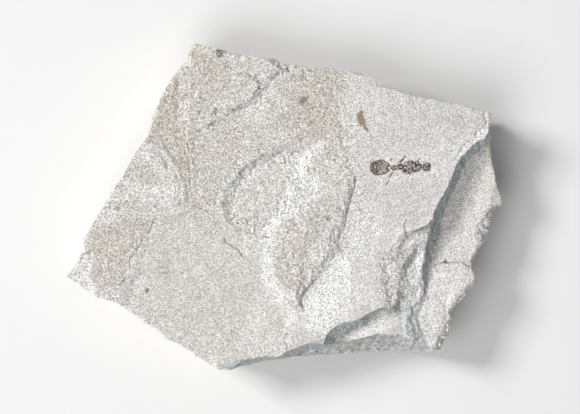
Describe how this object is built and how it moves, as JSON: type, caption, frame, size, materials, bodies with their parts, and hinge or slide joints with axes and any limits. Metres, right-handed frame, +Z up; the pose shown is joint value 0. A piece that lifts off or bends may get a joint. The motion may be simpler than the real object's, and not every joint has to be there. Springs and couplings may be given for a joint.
{
  "type": "fossil ant in a limestone slab",
  "caption": "Fossil ant: a small brown ant pressed flat in a broken slab of pale fine-grained limestone.",
  "frame": {"origin": "middle of the slab's outline box, on its flat underside", "axes": "+X along the slab's longest side, towards the ant's head; +Y across it; +Z up, away from the underside"},
  "size_m": [0.0788, 0.0592, 0.0138],
  "materials": {
    "limestone": "matte",
    "carbonised_cuticle": "satin"
  },
  "bodies": {
    "root": {"slab": "limestone", "ant_gaster": "carbonised_cuticle", "ant_petiole": "carbonised_cuticle", "ant_mesosoma": "carbonised_cuticle", "ant_head": "carbonised_cuticle", "ant_leg_upper": "carbonised_cuticle", "ant_leg_lower": "carbonised_cuticle", "ant_leg_lower_tip": "carbonised_cuticle"}
  },
  "joints": []
}
